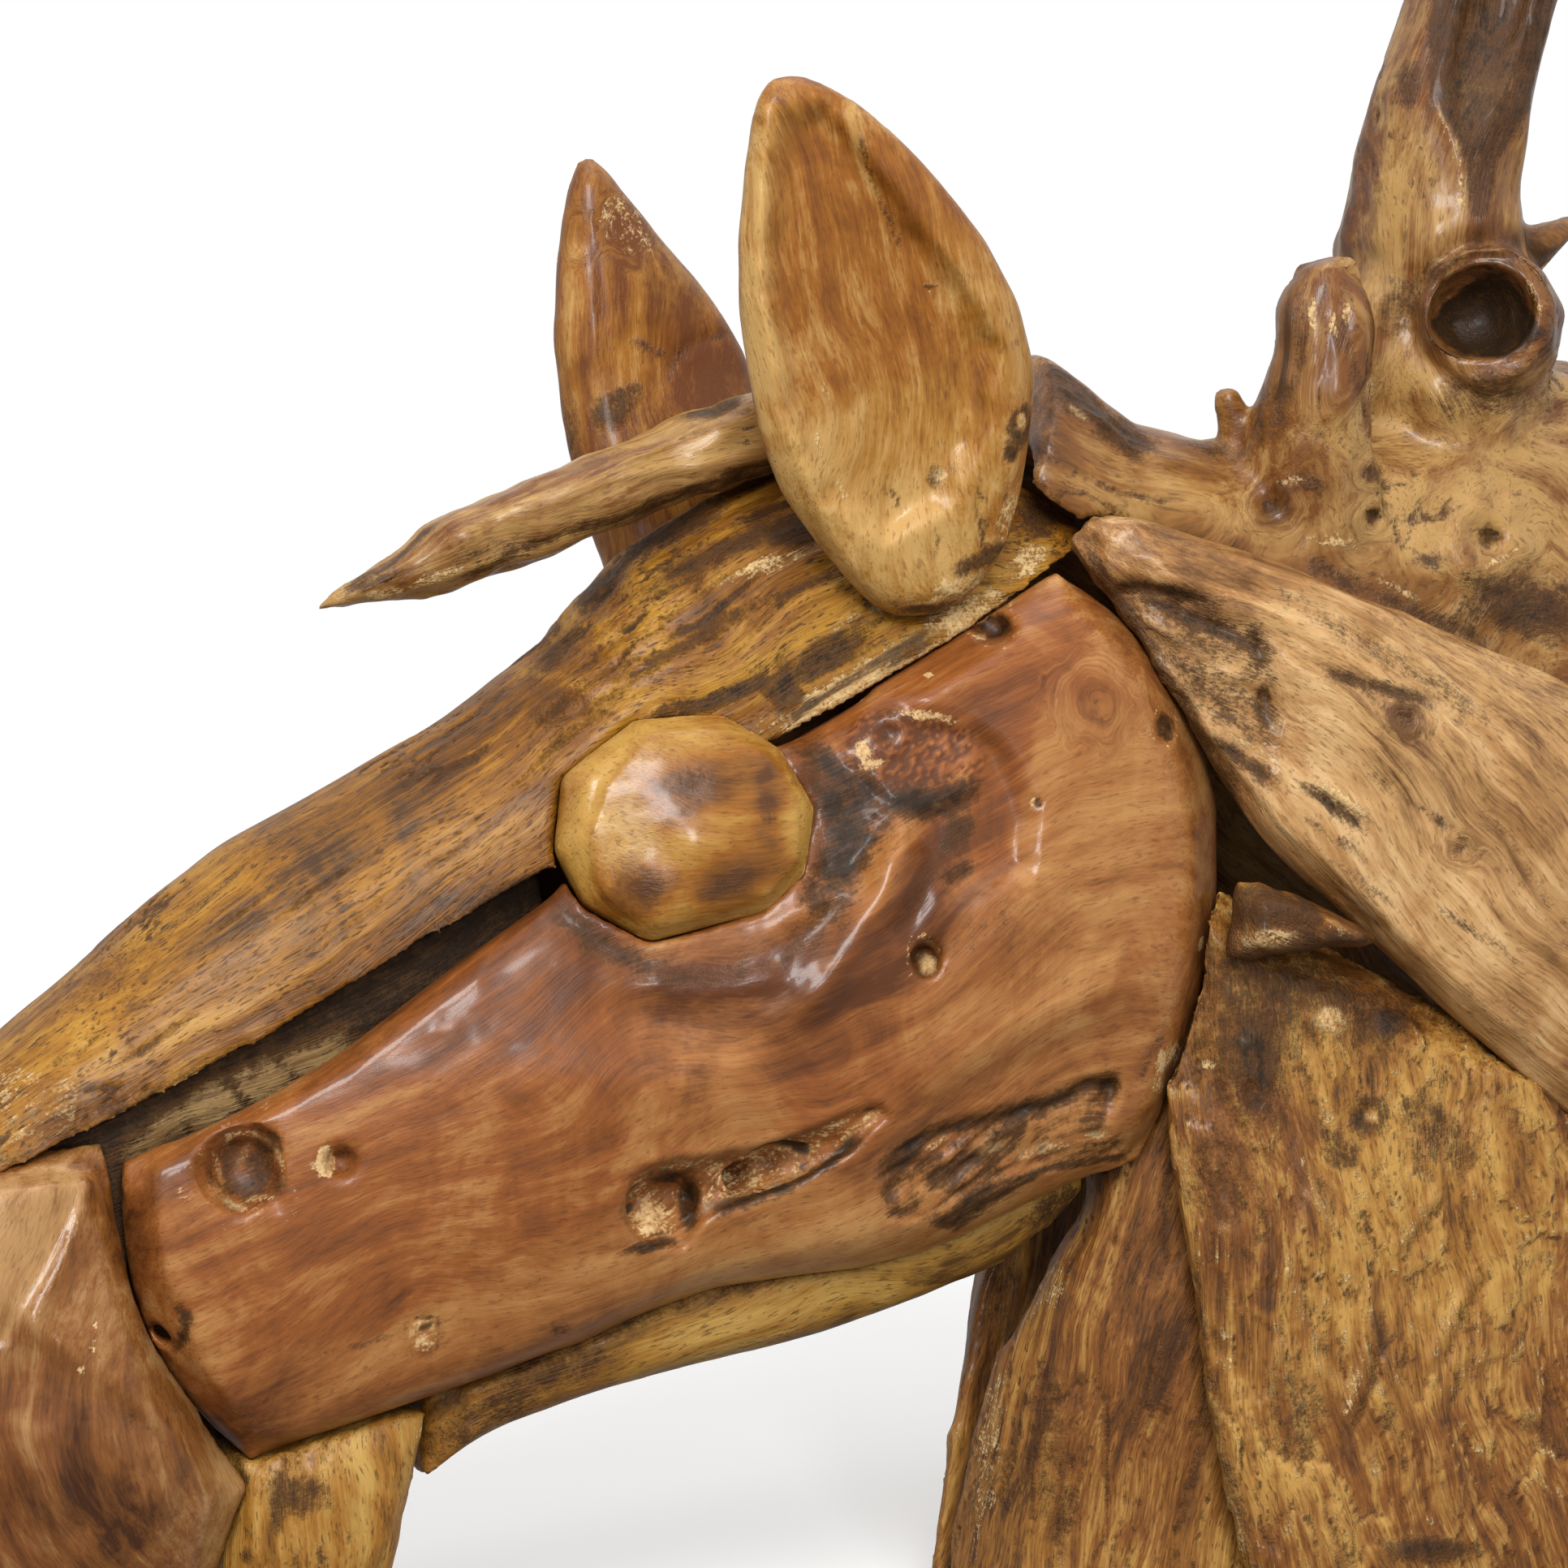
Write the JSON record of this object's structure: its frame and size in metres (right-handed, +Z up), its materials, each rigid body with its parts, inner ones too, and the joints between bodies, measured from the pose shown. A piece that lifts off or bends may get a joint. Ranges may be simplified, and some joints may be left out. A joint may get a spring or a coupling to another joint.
{
  "type": "driftwood horse head sculpture",
  "caption": "Bust of a horse's head and neck pieced together from lacquered driftwood slabs, logs and roots, cut flat below the neck to stand on a surface.",
  "frame": {"origin": "middle of the bounding box at the level of the neck's flat cut", "axes": "the nose points to -X, the side that faces the viewer is -Y, +Z is up, and Y = 0 is the head's mid-plane"},
  "size_m": [0.988, 0.2182, 0.7156],
  "materials": {
    "eye_wood": "satin lacquer over pale heartwood",
    "ear_wood": "satin lacquer",
    "cheek_wood": "polished lacquer over reddish heartwood",
    "log_wood": "lacquer over open grain",
    "muzzle_wood": "polished lacquer",
    "jaw_wood": "satin lacquer over pale sapwood",
    "mane_wood": "satin lacquer over weathered grain",
    "root_wood": "lacquer over gnarled root",
    "neck_wood": "lacquer over chipped, wavy grain",
    "inner_wood": "raw"
  },
  "bodies": {
    "root": {"near_eye": "eye_wood", "far_eye": "eye_wood", "near_ear": "ear_wood", "far_ear": "ear_wood", "near_cheek": "cheek_wood", "far_cheek": "cheek_wood", "forehead_log": "log_wood", "forelock": "root_wood", "near_muzzle": "muzzle_wood", "far_muzzle": "muzzle_wood", "nose_board": "inner_wood", "lower_jaw": "jaw_wood", "chin": "jaw_wood", "near_mane_plank": "mane_wood", "far_mane_plank": "mane_wood", "mane_root": "root_wood", "near_neck_wedge": "neck_wood", "far_neck_wedge": "neck_wood", "near_neck_plank": "neck_wood", "far_neck_plank": "neck_wood", "near_front_plank": "neck_wood", "far_front_plank": "neck_wood", "back_plank": "neck_wood"}
  },
  "joints": []
}
